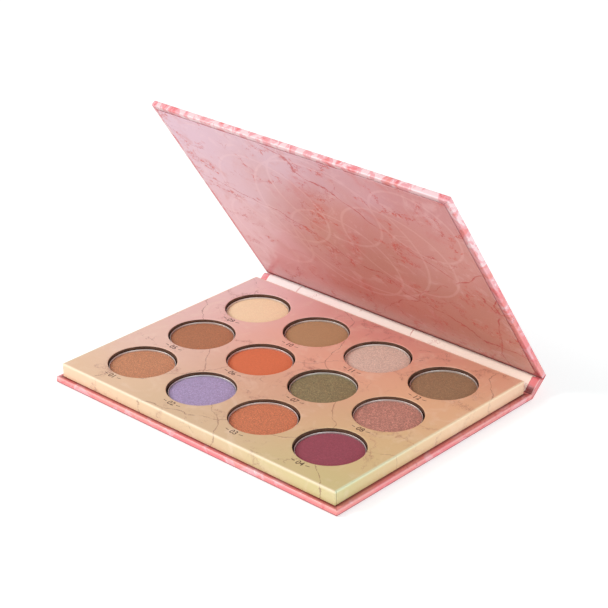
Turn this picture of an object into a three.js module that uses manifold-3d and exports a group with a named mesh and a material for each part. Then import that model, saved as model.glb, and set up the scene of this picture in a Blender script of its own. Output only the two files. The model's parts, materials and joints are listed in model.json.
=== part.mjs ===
// Book-style eyeshadow palette: a paperboard case of three hinged panels (base, spine, lid)
// with a raised tray of twelve round pans on the base. Millimetres, +Z up, +Y towards the hinge.
// The origin is the centre of the base panel's underside.
import * as THREE from 'three';
import { mergeVertices } from 'three/addons/utils/BufferGeometryUtils.js';
import Module from 'manifold-3d';

const wasm = await Module();
wasm.setup();

// ---- Driving dimensions ----

// Paper and board
const PAPER = 0.2;
const BOARD = 1.9;
const LINER = 0.15;
const BOND = 0.05; // glue line left between two bonded layers
const PANEL = 2 * PAPER + BOARD + 2 * BOND;

// Base and lid panels
const PANEL_WIDTH = 146.6;
const PANEL_DEPTH = 113.7;
const TURN_IN = 12; // paper folded over onto the panel's inner face
const LINER_INSET = 2.3; // from the panel's edge to its liner's edge

// Hinge: the two creases of the wrapping paper, one each side of the spine
const CREASE_GAP = 0.4; // from a crease to the panel edge beside it
const CREASE_TO_CREASE = 10.8;
const SPINE_REST = 41; // degrees that the spine leans up from lying flat
const LID_REST = 124.5; // degrees that the lid is turned up from lying flat
const SPINE_BOARD_START = 2.6; // from the base crease to the spine board
const SPINE_BOARD_WIDTH = 5.6;
const SPINE_LINER_INSET = 3.6;
const SPINE_GUTTER_LAP = 1.8; // liner paper pressed flat beside the spine board
const SPINE_TURN_IN = 8;

// Tray
const TRAY_WIDTH = 142;
const TRAY_DEPTH = 109.6;
const TRAY_HEIGHT = 5.75;
const TRAY_FRONT_MARGIN = 1.65; // base panel showing in front of the tray
const TRAY_WALL = 2;
const TRAY_TURN_IN = 8;

// Wells and pans
const COLUMNS = 4;
const ROWS = 3;
const PITCH = 32.64;
const WELL_RADIUS = 13.6;
const PAN_RADIUS = 13.05;
const PAN_HEIGHT = 4.3;
const PAN_METAL = 0.3;
const PAN_FOOT = 0.5; // rounded lower edge of the pan
const POWDER_CLEARANCE = 0.05;
const POWDER_BELOW_RIM = 0.35;
const POWDER_DOME = 0.2;
const POWDER_SHOULDER = 0.8;

// Magnets that hold the lid shut
const MAGNET_RADIUS = 4;
const MAGNET_HEIGHT = 1.5;
const MAGNET_CLEARANCE = 0.15;
const MAGNET_FROM_TRAY_FRONT = 8;
const MAGNET_X = PITCH;

const ROUND_SEGMENTS = 32;

// ---- Colours ----

const WRAP_PINK = 0xe88a86;
const LINER_ROSE = 0xc98478;
const SPINE_CREAM = 0xf6dccb;
const TRAY_PEACH = 0xdfaf94;
const GREYBOARD = 0x8a6248;
const PAN_SILVER = 0xc9c6c1;
const MAGNET_NICKEL = 0xb9bbbd;
const POWDERS = [
  { colour: 0xc38a68, roughness: 0.45 },
  { colour: 0xa99ac6, roughness: 0.55 },
  { colour: 0xc97754, roughness: 0.45 },
  { colour: 0x8e4258, roughness: 0.8 },
  { colour: 0xaf775b, roughness: 0.5 },
  { colour: 0xd9683f, roughness: 0.85 },
  { colour: 0x7c7452, roughness: 0.4 },
  { colour: 0xa46d64, roughness: 0.4 },
  { colour: 0xf2cda2, roughness: 0.7 },
  { colour: 0xa98261, roughness: 0.85 },
  { colour: 0xc9a99c, roughness: 0.4 },
  { colour: 0x8d6d54, roughness: 0.55 },
];

// ---- Levels and places worked out from the dimensions ----

const HINGE_Y = PANEL_DEPTH / 2 + CREASE_GAP;
const HINGE_Z = PAPER / 2;
const TRAY_Y = -PANEL_DEPTH / 2 + TRAY_FRONT_MARGIN + TRAY_DEPTH / 2;
const TRAY_BOTTOM = PANEL + BOND;
const TRAY_TOP = TRAY_BOTTOM + TRAY_HEIGHT;
const FACE_BOARD_TOP = TRAY_TOP - PAPER - BOND;
const FACE_BOARD_BOTTOM = FACE_BOARD_TOP - BOARD;
const TRAY_FLOOR_TOP = TRAY_BOTTOM + PAPER;
const PAN_BOTTOM = TRAY_FLOOR_TOP + BOND;
const MAGNET_Y = TRAY_Y - TRAY_DEPTH / 2 + MAGNET_FROM_TRAY_FRONT;

// ---- Solids ----

function toSolid(geometry) {
  const plain = geometry.clone();
  plain.deleteAttribute('normal');
  plain.deleteAttribute('uv');
  const merged = mergeVertices(plain, 1e-4);
  const mesh = new wasm.Mesh({
    numProp: 3,
    vertProperties: new Float32Array(merged.attributes.position.array),
    triVerts: new Uint32Array(merged.index.array),
  });
  return new wasm.Manifold(mesh);
}

function toGeometry(solid) {
  const mesh = solid.getMesh();
  const geometry = new THREE.BufferGeometry();
  geometry.setAttribute('position', new THREE.BufferAttribute(mesh.vertProperties, 3));
  geometry.setIndex(new THREE.BufferAttribute(mesh.triVerts, 1));
  geometry.computeVertexNormals();
  return geometry;
}

// A box from its size, the middle of its plan, and its lower level.
function slab(width, depth, height, x, y, bottom) {
  const geometry = new THREE.BoxGeometry(width, depth, height);
  geometry.translate(x, y, bottom + height / 2);
  return geometry;
}

// A disc standing on a level, with its axis along Z.
function disc(radius, height, x, y, bottom) {
  const geometry = new THREE.CylinderGeometry(radius, radius, height, ROUND_SEGMENTS);
  geometry.rotateX(Math.PI / 2);
  geometry.translate(x, y, bottom + height / 2);
  return geometry;
}

// A body turned about Z from its outline of [radius, height] points.
function turned(outline, x, y) {
  const points = outline.map(([radius, height]) => new THREE.Vector2(radius, height));
  const geometry = new THREE.LatheGeometry(points, ROUND_SEGMENTS);
  geometry.rotateX(Math.PI / 2);
  geometry.translate(x, y, 0);
  return geometry;
}

// A cross-section of [y, z] points drawn out along X, centred on X = 0.
function drawnAlongX(outline, length) {
  const shape = new THREE.Shape(outline.map(([y, z]) => new THREE.Vector2(y, z)));
  const geometry = new THREE.ExtrudeGeometry(shape, { depth: length, bevelEnabled: false });
  geometry.translate(0, 0, -length / 2);
  const along = new THREE.Matrix4().makeBasis(
    new THREE.Vector3(0, 1, 0),
    new THREE.Vector3(0, 0, 1),
    new THREE.Vector3(1, 0, 0),
  );
  geometry.applyMatrix4(along);
  return geometry;
}

function cut(body, tools) {
  const solid = tools.reduce((rest, tool) => rest.subtract(toSolid(tool)), toSolid(body));
  return toGeometry(solid);
}

function join(parts) {
  const solid = parts.slice(1).reduce((sum, part) => sum.add(toSolid(part)), toSolid(parts[0]));
  return toGeometry(solid);
}

function named(name, geometry, colour, roughness, metalness = 0) {
  const material = new THREE.MeshStandardMaterial({ color: colour, roughness, metalness });
  const mesh = new THREE.Mesh(geometry, material);
  mesh.name = name;
  return mesh;
}

// ---- Panels. Each lies flat in its own frame: outer face down, Z = 0 in the middle of its paper. ----

const PANEL_OUTSIDE = -PAPER / 2;
const PANEL_INSIDE = PANEL_OUTSIDE + PANEL;
const BOARD_BOTTOM = PANEL_OUTSIDE + PAPER + BOND;
const BOARD_TOP = BOARD_BOTTOM + BOARD;

// Paper over the outer face and all four edges, turned in over the inner face.
function panelWrap(middleY) {
  const outer = slab(PANEL_WIDTH, PANEL_DEPTH, PANEL, 0, middleY, PANEL_OUTSIDE);
  const hollow = slab(
    PANEL_WIDTH - 2 * PAPER,
    PANEL_DEPTH - 2 * PAPER,
    PANEL - 2 * PAPER,
    0,
    middleY,
    PANEL_OUTSIDE + PAPER,
  );
  const opening = slab(
    PANEL_WIDTH - 2 * TURN_IN,
    PANEL_DEPTH - 2 * TURN_IN,
    PANEL,
    0,
    middleY,
    PANEL_OUTSIDE + PANEL / 2,
  );
  return cut(outer, [hollow, opening]);
}

function panelBoard(middleY) {
  const inset = 2 * (PAPER + BOND);
  return slab(PANEL_WIDTH - inset, PANEL_DEPTH - inset, BOARD, 0, middleY, BOARD_BOTTOM);
}

// Fills the space that the turned-in paper leaves on the board's inner face.
function panelInfill(middleY) {
  const inset = 2 * (TURN_IN + BOND);
  return slab(PANEL_WIDTH - inset, PANEL_DEPTH - inset, PAPER, 0, middleY, BOARD_TOP + BOND);
}

function buildBasePanel() {
  const panel = new THREE.Group();
  panel.position.z = HINGE_Z;
  panel.add(
    named('base_wrap', panelWrap(0), WRAP_PINK, 0.45),
    named('base_board', panelBoard(0), GREYBOARD, 0.9),
    named('base_liner', panelInfill(0), SPINE_CREAM, 0.6),
  );
  return panel;
}

function buildLid() {
  const middleY = CREASE_GAP + PANEL_DEPTH / 2;
  const magnetY = HINGE_Y - MAGNET_Y;
  const pocketRadius = MAGNET_RADIUS + MAGNET_CLEARANCE;
  const pockets = [-MAGNET_X, MAGNET_X].map((x) =>
    disc(pocketRadius, BOARD + 2, x, magnetY, BOARD_BOTTOM - 1),
  );
  const facing = slab(
    PANEL_WIDTH - 2 * LINER_INSET,
    PANEL_DEPTH - 2 * LINER_INSET,
    LINER,
    0,
    middleY,
    PANEL_INSIDE + BOND,
  );
  const pad = slab(
    PANEL_WIDTH - 2 * (TURN_IN + BOND),
    PANEL_DEPTH - 2 * (TURN_IN + BOND),
    PAPER + BOND + LINER / 2,
    0,
    middleY,
    BOARD_TOP + BOND,
  );
  const magnetBottom = BOARD_TOP - MAGNET_HEIGHT;
  const lid = new THREE.Group();
  lid.add(
    named('lid_wrap', panelWrap(middleY), WRAP_PINK, 0.45),
    named('lid_board', cut(panelBoard(middleY), pockets), GREYBOARD, 0.9),
    named('lid_liner', join([facing, pad]), LINER_ROSE, 0.35),
  );
  for (const [side, x] of [['left', -MAGNET_X], ['right', MAGNET_X]]) {
    const magnet = disc(MAGNET_RADIUS, MAGNET_HEIGHT, x, magnetY, magnetBottom);
    lid.add(named(`lid_magnet_${side}`, magnet, MAGNET_NICKEL, 0.3, 1));
  }
  return lid;
}

// ---- Spine, lying flat between its two creases: Y runs from the base crease to the lid crease. ----

const SPINE_BOARD_END = SPINE_BOARD_START + SPINE_BOARD_WIDTH;
const SPINE_BOARD_MIDDLE = SPINE_BOARD_START + SPINE_BOARD_WIDTH / 2;

// The outer sheet, with its two ends folded up over the spine board's ends.
function spineWrap() {
  const sheetDepth = CREASE_TO_CREASE - CREASE_GAP + PAPER / 2;
  const sheet = slab(PANEL_WIDTH, sheetDepth, PAPER, 0, CREASE_TO_CREASE / 2, PANEL_OUTSIDE);
  const folds = [-1, 1].flatMap((side) => {
    const endX = side * (PANEL_WIDTH - PAPER) / 2;
    const flapX = side * (PANEL_WIDTH - SPINE_TURN_IN) / 2;
    return [
      slab(PAPER, SPINE_BOARD_WIDTH, PANEL, endX, SPINE_BOARD_MIDDLE, PANEL_OUTSIDE),
      slab(
        SPINE_TURN_IN,
        SPINE_BOARD_WIDTH,
        PAPER,
        flapX,
        SPINE_BOARD_MIDDLE,
        PANEL_INSIDE - PAPER,
      ),
    ];
  });
  return join([sheet, ...folds]);
}

// A sheet pressed over the spine board and flat into the gutter on each side of it.
function spineLiner() {
  const gutterTop = PAPER / 2 + BOND + LINER;
  const crownTop = PANEL_INSIDE + BOND + LINER;
  const wallStart = SPINE_BOARD_START - BOND;
  const wallEnd = SPINE_BOARD_END + BOND;
  const outline = [
    [wallStart - SPINE_GUTTER_LAP, gutterTop - LINER],
    [wallStart, gutterTop - LINER],
    [wallStart, crownTop - LINER],
    [wallEnd, crownTop - LINER],
    [wallEnd, gutterTop - LINER],
    [wallEnd + SPINE_GUTTER_LAP, gutterTop - LINER],
    [wallEnd + SPINE_GUTTER_LAP, gutterTop],
    [wallEnd + LINER, gutterTop],
    [wallEnd + LINER, crownTop],
    [wallStart - LINER, crownTop],
    [wallStart - LINER, gutterTop],
    [wallStart - SPINE_GUTTER_LAP, gutterTop],
  ];
  return drawnAlongX(outline, PANEL_WIDTH - 2 * SPINE_LINER_INSET);
}

function buildSpine() {
  const boardLength = PANEL_WIDTH - 2 * (PAPER + BOND);
  const board = slab(
    boardLength,
    SPINE_BOARD_WIDTH,
    BOARD,
    0,
    SPINE_BOARD_MIDDLE,
    BOARD_BOTTOM,
  );
  const spine = new THREE.Group();
  spine.add(
    named('spine_wrap', spineWrap(), WRAP_PINK, 0.45),
    named('spine_board', board, GREYBOARD, 0.9),
    named('spine_liner', spineLiner(), SPINE_CREAM, 0.5),
  );
  return spine;
}

// ---- Tray: a hollow platform of board strips, covered with printed paper ----

// The middle of each well, counted from the front left corner along each row.
function wellCentres() {
  const centres = [];
  for (let row = 0; row < ROWS; row += 1) {
    for (let column = 0; column < COLUMNS; column += 1) {
      centres.push([
        (column - (COLUMNS - 1) / 2) * PITCH,
        TRAY_Y + (row - (ROWS - 1) / 2) * PITCH,
      ]);
    }
  }
  return centres;
}

function trayWrap() {
  const outer = slab(TRAY_WIDTH, TRAY_DEPTH, TRAY_HEIGHT, 0, TRAY_Y, TRAY_BOTTOM);
  const hollow = slab(
    TRAY_WIDTH - 2 * PAPER,
    TRAY_DEPTH - 2 * PAPER,
    TRAY_HEIGHT - 2 * PAPER,
    0,
    TRAY_Y,
    TRAY_BOTTOM + PAPER,
  );
  const opening = slab(
    TRAY_WIDTH - 2 * TRAY_TURN_IN,
    TRAY_DEPTH - 2 * TRAY_TURN_IN,
    TRAY_HEIGHT,
    0,
    TRAY_Y,
    TRAY_BOTTOM - TRAY_HEIGHT / 2,
  );
  const wells = wellCentres().map(([x, y]) =>
    disc(WELL_RADIUS, 1, x, y, TRAY_TOP - 0.5),
  );
  return cut(outer, [hollow, opening, ...wells]);
}

function trayFaceBoard() {
  const inset = 2 * (PAPER + BOND);
  const sheet = slab(
    TRAY_WIDTH - inset,
    TRAY_DEPTH - inset,
    BOARD,
    0,
    TRAY_Y,
    FACE_BOARD_BOTTOM,
  );
  const wells = wellCentres().map(([x, y]) =>
    disc(WELL_RADIUS, BOARD + 2, x, y, FACE_BOARD_BOTTOM - 1),
  );
  const pockets = [-MAGNET_X, MAGNET_X].map((x) =>
    disc(MAGNET_RADIUS + MAGNET_CLEARANCE, BOARD + 2, x, MAGNET_Y, FACE_BOARD_BOTTOM - 1),
  );
  return cut(sheet, [...wells, ...pockets]);
}

// Four strips on edge that hold the face board up.
function addTrayWalls(tray) {
  const bottom = TRAY_FLOOR_TOP + BOND;
  const height = FACE_BOARD_BOTTOM - BOND - bottom;
  const length = TRAY_WIDTH - 2 * (PAPER + BOND);
  const endOffset = TRAY_DEPTH / 2 - PAPER - BOND - TRAY_WALL / 2;
  const sideOffset = TRAY_WIDTH / 2 - PAPER - BOND - TRAY_WALL / 2;
  const sideLength = 2 * (endOffset - TRAY_WALL / 2 - BOND);
  for (const [name, sign] of [['front', -1], ['back', 1]]) {
    const strip = slab(length, TRAY_WALL, height, 0, TRAY_Y + sign * endOffset, bottom);
    tray.add(named(`tray_wall_${name}`, strip, GREYBOARD, 0.9));
  }
  for (const [name, sign] of [['left', -1], ['right', 1]]) {
    const strip = slab(TRAY_WALL, sideLength, height, sign * sideOffset, TRAY_Y, bottom);
    tray.add(named(`tray_wall_${name}`, strip, GREYBOARD, 0.9));
  }
}

function trayFloorCard() {
  const inset = 2 * (TRAY_TURN_IN + BOND);
  return slab(TRAY_WIDTH - inset, TRAY_DEPTH - inset, PAPER, 0, TRAY_Y, TRAY_BOTTOM);
}

// A drawn metal pan with a rounded foot.
function panBody(x, y) {
  const rim = PAN_BOTTOM + PAN_HEIGHT;
  const bore = PAN_RADIUS - PAN_METAL;
  const outline = [
    [0, PAN_BOTTOM],
    [PAN_RADIUS - PAN_FOOT, PAN_BOTTOM],
    [PAN_RADIUS, PAN_BOTTOM + PAN_FOOT],
    [PAN_RADIUS, rim],
    [bore, rim],
    [bore, PAN_BOTTOM + PAN_FOOT],
    [bore - PAN_FOOT + PAN_METAL, PAN_BOTTOM + PAN_METAL],
    [0, PAN_BOTTOM + PAN_METAL],
  ];
  return turned(outline, x, y);
}

// Powder pressed into its pan, slightly crowned.
function powderCake(x, y) {
  const bottom = PAN_BOTTOM + PAN_METAL + POWDER_CLEARANCE;
  const edge = PAN_BOTTOM + PAN_HEIGHT - POWDER_BELOW_RIM - POWDER_DOME;
  const radius = PAN_RADIUS - PAN_METAL - POWDER_CLEARANCE;
  const outline = [
    [0, bottom],
    [radius - PAN_FOOT, bottom],
    [radius, bottom + PAN_FOOT],
    [radius, edge],
    [radius - POWDER_SHOULDER, edge + POWDER_DOME],
    [0, edge + POWDER_DOME],
  ];
  return turned(outline, x, y);
}

function buildTray() {
  const tray = new THREE.Group();
  tray.add(
    named('tray_wrap', trayWrap(), TRAY_PEACH, 0.4),
    named('tray_face_board', trayFaceBoard(), GREYBOARD, 0.95),
    named('tray_floor_card', trayFloorCard(), GREYBOARD, 0.9),
  );
  addTrayWalls(tray);
  wellCentres().forEach(([x, y], index) => {
    const number = String(index + 1).padStart(2, '0');
    const { colour, roughness } = POWDERS[index];
    tray.add(
      named(`pan_${number}`, panBody(x, y), PAN_SILVER, 0.35, 1),
      named(`powder_${number}`, powderCake(x, y), colour, roughness),
    );
  });
  for (const [side, x] of [['left', -MAGNET_X], ['right', MAGNET_X]]) {
    const bottom = FACE_BOARD_TOP - MAGNET_HEIGHT;
    const magnet = disc(MAGNET_RADIUS, MAGNET_HEIGHT, x, MAGNET_Y, bottom);
    tray.add(named(`tray_magnet_${side}`, magnet, MAGNET_NICKEL, 0.3, 1));
  }
  return tray;
}

// ---- Assembly: the lid turns on the spine's far crease, the spine on the base's crease ----

const palette = new THREE.Group();
const spine = buildSpine();
const lid = buildLid();
spine.position.set(0, HINGE_Y, HINGE_Z);
spine.rotation.x = THREE.MathUtils.degToRad(SPINE_REST);
lid.position.set(0, CREASE_TO_CREASE, 0);
lid.rotation.x = THREE.MathUtils.degToRad(LID_REST - SPINE_REST);
spine.add(lid);
palette.add(buildBasePanel(), buildTray(), spine);

export default palette;
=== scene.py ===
"""The looks of the eyeshadow palette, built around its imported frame.

Each piece is drawn in the flat sheet of its own panel, in millimetres: X along the hinge, Y across
the panel, Z up from the middle of the outer paper. Its place then turns it into the shared frame,
in metres.
"""

import json
import math

import bmesh
import bpy
import numpy as np
from mathutils import Matrix, Vector, noise


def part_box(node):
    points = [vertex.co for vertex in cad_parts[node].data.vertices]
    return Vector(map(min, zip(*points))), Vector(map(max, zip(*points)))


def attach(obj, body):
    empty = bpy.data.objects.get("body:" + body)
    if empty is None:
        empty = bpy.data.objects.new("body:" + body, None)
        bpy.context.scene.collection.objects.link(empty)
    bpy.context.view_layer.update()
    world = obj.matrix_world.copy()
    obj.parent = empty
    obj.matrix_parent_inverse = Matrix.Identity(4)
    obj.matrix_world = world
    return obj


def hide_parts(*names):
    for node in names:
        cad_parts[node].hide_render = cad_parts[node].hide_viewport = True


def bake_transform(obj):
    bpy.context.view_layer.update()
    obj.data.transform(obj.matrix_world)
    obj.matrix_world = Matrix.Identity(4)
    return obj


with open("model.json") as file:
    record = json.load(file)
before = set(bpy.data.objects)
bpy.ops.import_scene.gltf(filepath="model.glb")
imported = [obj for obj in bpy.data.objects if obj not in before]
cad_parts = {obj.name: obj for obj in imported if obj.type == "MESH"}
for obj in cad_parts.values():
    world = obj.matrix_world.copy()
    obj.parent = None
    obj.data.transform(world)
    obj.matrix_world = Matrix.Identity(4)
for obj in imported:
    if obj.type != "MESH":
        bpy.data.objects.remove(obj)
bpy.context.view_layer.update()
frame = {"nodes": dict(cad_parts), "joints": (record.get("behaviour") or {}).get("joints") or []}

MM = 0.001

# ---- Sizes read from the frame, in millimetres ----


def box_mm(node):
    low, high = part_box(node)
    return low / MM, high / MM


joints = {joint["name"]: joint for joint in frame["joints"]}
base_low, base_high = box_mm("base_wrap")
tray_low, tray_high = box_mm("tray_wrap")
face_low, face_high = box_mm("tray_face_board")
crease_a = Vector(joints["spine_fold"]["pos_m"])
crease_b = Vector(joints["lid_fold"]["pos_m"])

PANEL_X = base_high.x
PANEL_DEPTH = base_high.y - base_low.y
PANEL = base_high.z
PAPER = 2 * crease_a.z / MM
CREASE_GAP = crease_a.y / MM - base_high.y
SPINE_WIDTH = (crease_b - crease_a).length / MM
SPINE_TURN = -joints["spine_fold"]["range_deg"][0]
LID_TURN = SPINE_TURN - joints["lid_fold"]["range_deg"][0]
OUTSIDE = -PAPER / 2
INSIDE = OUTSIDE + PANEL
LINER = 0.15

base_place = Matrix.Translation((0, 0, crease_a.z))
spine_place = Matrix.Translation(crease_a) @ Matrix.Rotation(math.radians(SPINE_TURN), 4, "X")
lid_place = Matrix.Translation(crease_b) @ Matrix.Rotation(math.radians(LID_TURN), 4, "X")
shared_place = Matrix.Identity(4)
BASE_SHIFT = -crease_a.y / MM
LID_SHIFT = SPINE_WIDTH
# The tray in the base's sheet: half sizes and middle in plan, then its heights.
TRAY_PLAN = (
    tray_high.x,
    (tray_high.y - tray_low.y) / 2,
    (tray_high.y + tray_low.y) / 2 + BASE_SHIFT,
)
SHEET_RISE = crease_a.z / MM
TRAY_TOP = tray_high.z - SHEET_RISE
TRAY_BOTTOM = tray_low.z - SHEET_RISE

# ---- Mesh building ----


MERGE_DISTANCE = 1e-4
SHARP_ANGLE = math.radians(50)
CORNER_STEPS = 6
SPAN_STEPS = 4


def linked(name, data):
    """A new object in the scene."""
    made = bpy.data.objects.new(name, data)
    bpy.context.scene.collection.objects.link(made)
    return made


class Draft:
    """Points and faces of one piece, in its sheet's millimetres."""

    def __init__(self):
        self.points = []
        self.faces = []

    def add(self, points):
        start = len(self.points)
        self.points.extend(tuple(point) for point in points)
        return list(range(start, len(self.points)))

    def face(self, corners):
        self.faces.append(tuple(corners))

    def stack(self, rings):
        """Closed rings of the same length, joined one after another."""
        indices = [self.add(ring) for ring in rings]
        for ring, following in zip(indices, indices[1:]):
            for i in range(len(ring)):
                j = (i + 1) % len(ring)
                self.face((ring[i], ring[j], following[j], following[i]))
        return indices

    def body(self, rings):
        """Rings joined and closed with a face at both ends."""
        indices = self.stack(rings)
        self.face(reversed(indices[0]))
        self.face(indices[-1])

    def make(self, name, place, shift, material):
        """The finished object. shift moves its Y into the unfolded case sheet."""
        grid = bmesh.new()
        corners = [grid.verts.new(point) for point in self.points]
        for face in self.faces:
            grid.faces.new([corners[i] for i in face]).smooth = True
        bmesh.ops.remove_doubles(grid, verts=grid.verts, dist=MERGE_DISTANCE)
        bmesh.ops.recalc_face_normals(grid, faces=grid.faces)
        mesh = bpy.data.meshes.new(name)
        grid.to_mesh(mesh)
        grid.free()
        flat = np.array([vertex.co for vertex in mesh.vertices], dtype=np.float32)
        sheet = flat + np.array((0, shift, 0), dtype=np.float32)
        stored = mesh.attributes.new("sheet", "FLOAT_VECTOR", "POINT")
        stored.data.foreach_set("vector", sheet.ravel())
        mesh.transform(place @ Matrix.Scale(MM, 4))
        mesh.set_sharp_from_angle(angle=SHARP_ANGLE)
        mesh.materials.append(material)
        return linked(name, mesh)


def spread(half, count):
    """Evenly spaced stops strictly inside -half to half."""
    return [half * (2 * i / count - 1) for i in range(1, count)]


def rounded_ring(half_x, half_y, radius, stops_x, stops_y, z, middle_y=0, dip=0):
    """A rectangle with rounded corners, anticlockwise. dip lowers the middle of each corner."""
    ring = []
    sides = (
        [(half_x, y) for y in stops_y],
        [(x, half_y) for x in reversed(stops_x)],
        [(-half_x, y) for y in reversed(stops_y)],
        [(x, -half_y) for x in stops_x],
    )
    signs = ((1, 1), (-1, 1), (-1, -1), (1, -1))
    for side, (points, (sign_x, sign_y)) in enumerate(zip(sides, signs)):
        ring += [(x, y + middle_y, z) for x, y in points]
        centre_x = sign_x * (half_x - radius)
        centre_y = sign_y * (half_y - radius) + middle_y
        for step in range(CORNER_STEPS + 1):
            angle = math.pi / 2 * (side + step / CORNER_STEPS)
            x = centre_x + radius * math.cos(angle)
            y = centre_y + radius * math.sin(angle)
            ring.append((x, y, z - dip * math.sin(math.pi * step / CORNER_STEPS)))
    return ring


def rays(count):
    """Directions evenly spaced round a circle."""
    angles = [2 * math.pi * step / count for step in range(count)]
    return [(math.cos(angle), math.sin(angle)) for angle in angles]


def arc(centre, radius, start, end, steps):
    """Points of an arc between two angles in degrees."""
    angles = [math.radians(start + (end - start) * step / steps) for step in range(steps + 1)]
    return [(centre[0] + radius * math.cos(a), centre[1] + radius * math.sin(a)) for a in angles]


def smooth_line(points):
    """A Catmull-Rom curve through the points."""
    ends = [points[0]] + list(points) + [points[-1]]
    line = []
    for i in range(1, len(ends) - 2):
        p0, p1, p2, p3 = (np.array(ends[i + k], float) for k in (-1, 0, 1, 2))
        for step in range(SPAN_STEPS):
            t = step / SPAN_STEPS
            point = 0.5 * (
                2 * p1
                + (p2 - p0) * t
                + (2 * p0 - 5 * p1 + 4 * p2 - p3) * t * t
                + (3 * p1 - 3 * p2 + p3 - p0) * t**3
            )
            line.append(tuple(point))
    line.append(tuple(points[-1]))
    return line


# ---- Colours ----

# Each row: how far from the base's middle, then the colour at the left, middle and right.
TRAY_COLOURS = [
    (-52, ((237, 200, 166), (221, 191, 153), (212, 196, 140))),
    (-17, ((238, 200, 184), (220, 176, 146), (223, 192, 143))),
    (16, ((238, 196, 189), (234, 179, 155), (233, 188, 147))),
    (52, ((240, 205, 205), (226, 159, 149), (229, 173, 144))),
]
# The same, from the lid's own crease.
LID_COLOURS = [
    (12, ((216, 149, 149), (202, 124, 112), (201, 137, 121))),
    (45, ((224, 170, 177), (198, 132, 123), (197, 131, 119))),
    (75, ((218, 174, 186), (203, 138, 135), (205, 143, 138))),
    (106, ((214, 173, 189), (209, 164, 175), (202, 141, 143))),
]
# Faint printed circles inside the lid: middle across, middle from the crease, radius.
LID_CIRCLES = [(-30, 72, 26), (2, 84, 26), (-4, 48, 26), (30, 64, 26)]
LID_CIRCLES += [(48, 88, 20), (-46, 44, 20), (2, 66, 40)]
# Single veins: direction, distance from the middle, wander, width, seed and gaps.
LID_VEINS = [
    (-38, 88, 12, 0.8, 4, 0.3),
    (-25, 52, 13, 0.7, 14, 0.34),
    (38, 22, 12, 0.6, 44, 0.36),
    (75, -50, 9, 0.7, 34, 0.36),
]
SPINE_VEINS = [(84, 55, 8, 0.8, 6, 0.3), (100, -12, 10, 0.7, 16, 0.3)]
TRAY_VEINS = [
    (128, 20, 10, 0.42, 52, 0.3),
    (118, -48, 10, 0.42, 62, 0.32),
    (135, 74, 9, 0.42, 72, 0.32),
    (20, -98, 10, 0.45, 82, 0.36),
    (52, -26, 10, 0.4, 92, 0.38),
]
FLAKE_SIZE = 0.37  # of the powders' mica

# ---- Node materials ----


def srgb(red, green, blue):
    """A linear colour from display values of 0 to 255."""

    def linear(value):
        value /= 255
        return value / 12.92 if value <= 0.04045 else ((value + 0.055) / 1.055) ** 2.4

    return (linear(red), linear(green), linear(blue), 1.0)


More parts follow.
